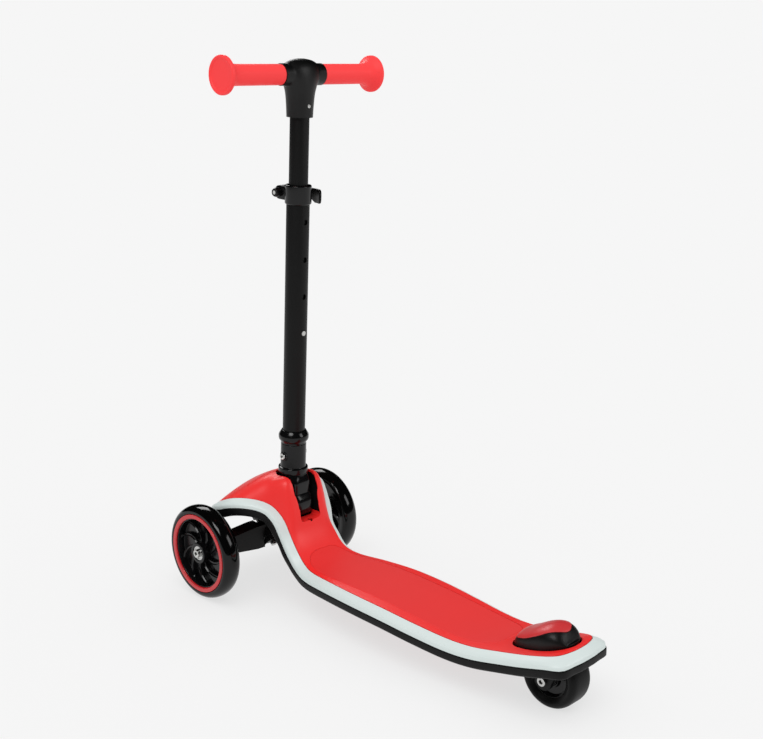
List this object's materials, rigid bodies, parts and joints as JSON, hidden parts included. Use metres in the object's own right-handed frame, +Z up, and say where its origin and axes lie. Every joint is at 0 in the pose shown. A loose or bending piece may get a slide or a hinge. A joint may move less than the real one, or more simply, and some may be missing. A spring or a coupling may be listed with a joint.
{
  "type": "three wheel kids scooter",
  "caption": "Lean-steer kids scooter with a folding, height-adjustable stem, broad moulded deck, foot brake and light band round the deck edge.",
  "frame": {"origin": "on the floor, under the middle of the scooter's whole length and width", "axes": "+X to the rider's right, +Y the way the scooter rolls, +Z up"},
  "size_m": [0.2828, 0.698, 0.8096],
  "materials": {
    "cover_red": "satin moulded",
    "pad_red": "matt with a fine grip texture",
    "grip_red": "soft satin",
    "band_clear": "frosted translucent",
    "base_black": "fine moulded texture",
    "gloss_black": "gloss",
    "tube_black": "black anodised satin",
    "smoke_tyre": "smoky translucent gloss",
    "ring_red": "gloss",
    "black_tyre": "satin",
    "steel": "zinc plated",
    "spring_steel": "bright wire",
    "bushing": "matt"
  },
  "bodies": {
    "deck": {"deck_base": "base_black", "deck_cover": "cover_red", "light_band": "band_clear", "deck_pad": "pad_red", "fold_pin": "steel", "kingpin": "steel", "kingpin_nut": "steel", "upper_bushing": "bushing", "lower_bushing": "bushing", "rear_axle": "steel", "rear_axle_nut": "steel", "brake_pin": "steel", "brake_spring": "spring_steel", "deck_screw_1": "steel", "deck_screw_2": "steel", "deck_screw_3": "steel", "deck_screw_4": "steel", "latch_spring": "spring_steel"},
    "truck": {"truck": "base_black", "axle_bolt_left": "steel", "axle_bolt_right": "steel"},
    "wheel_left": {"tyre_left": "smoke_tyre", "wheel_core_left": "gloss_black", "wheel_ring_left": "ring_red", "outer_bearing_left": "steel", "inner_bearing_left": "steel", "bearing_spacer_left": "steel"},
    "wheel_right": {"tyre_right": "smoke_tyre", "wheel_core_right": "gloss_black", "wheel_ring_right": "ring_red", "outer_bearing_right": "steel", "inner_bearing_right": "steel", "bearing_spacer_right": "steel"},
    "wheel_rear": {"rear_tyre": "black_tyre", "rear_core": "gloss_black", "rear_bearing_right": "steel", "rear_bearing_left": "steel", "rear_spacer": "steel"},
    "brake": {"brake_pedal": "base_black", "brake_inlay": "cover_red"},
    "latch": {"latch_pin": "steel", "latch_knob": "gloss_black"},
    "stem": {"fold_knuckle": "gloss_black", "stem_ring": "base_black", "lower_tube": "tube_black", "stem_bolt": "steel", "stem_nut": "steel", "guide_bush": "base_black", "clamp_collar": "gloss_black", "clamp_bolt": "steel", "clamp_nut": "gloss_black", "clamp_lever_pin": "steel"},
    "lever": {"clamp_lever": "gloss_black"},
    "handle": {"upper_tube": "tube_black", "handlebar_tee": "base_black", "tee_screw": "steel", "handlebar_tube": "tube_black", "grip_right": "grip_red", "grip_left": "grip_red"},
    "height_clip": {"snap_clip": "spring_steel"}
  },
  "joints": [
    {"name": "lean_steer", "type": "hinge", "parent": "deck", "child": "truck", "pos_m": [0, 0.27105, 0.078], "axis": [0, 0.6428, 0.766], "range_deg": [-8, 8], "stiffness_Nm_per_rad": 60},
    {"name": "wheel_left_spin", "type": "hinge", "parent": "truck", "child": "wheel_left", "pos_m": [-0.122, 0.27605, 0.073], "axis": [1, 0, 0], "continuous": true},
    {"name": "wheel_right_spin", "type": "hinge", "parent": "truck", "child": "wheel_right", "pos_m": [0.122, 0.27605, 0.073], "axis": [1, 0, 0], "continuous": true},
    {"name": "wheel_rear_spin", "type": "hinge", "parent": "deck", "child": "wheel_rear", "pos_m": [0, -0.29995, 0.0425], "axis": [1, 0, 0], "continuous": true},
    {"name": "brake_press", "type": "hinge", "parent": "deck", "child": "brake", "pos_m": [0, -0.25095, 0.065], "axis": [1, 0, 0], "range_deg": [0, 3], "stiffness_Nm_per_rad": 2, "springref_deg": -20.05},
    {"name": "latch_pull", "type": "slide", "parent": "deck", "child": "latch", "axis": [0, 1, 0], "range_m": [0, 0.008], "stiffness_N_per_m": 800, "springref_m": -0.006, "deforming": ["latch_spring"]},
    {"name": "fold", "type": "hinge", "parent": "deck", "child": "stem", "pos_m": [0, 0.20605, 0.141], "axis": [1, 0, 0], "range_deg": [0, 87]},
    {"name": "clamp_release", "type": "hinge", "parent": "stem", "child": "lever", "pos_m": [0.0169, 0.22008, 0.61683], "axis": [0, -0.0454, 0.999], "range_deg": [0, 110]},
    {"name": "height", "type": "slide", "parent": "stem", "child": "handle", "axis": [0, -0.0454, 0.999], "range_m": [0, 0.165], "deforming": ["snap_clip"]},
    {"name": "height_button", "type": "slide", "parent": "handle", "child": "height_clip", "axis": [0, 0.999, 0.0454], "range_m": [0, 0.0046], "stiffness_N_per_m": 900, "springref_m": -0.004}
  ]
}
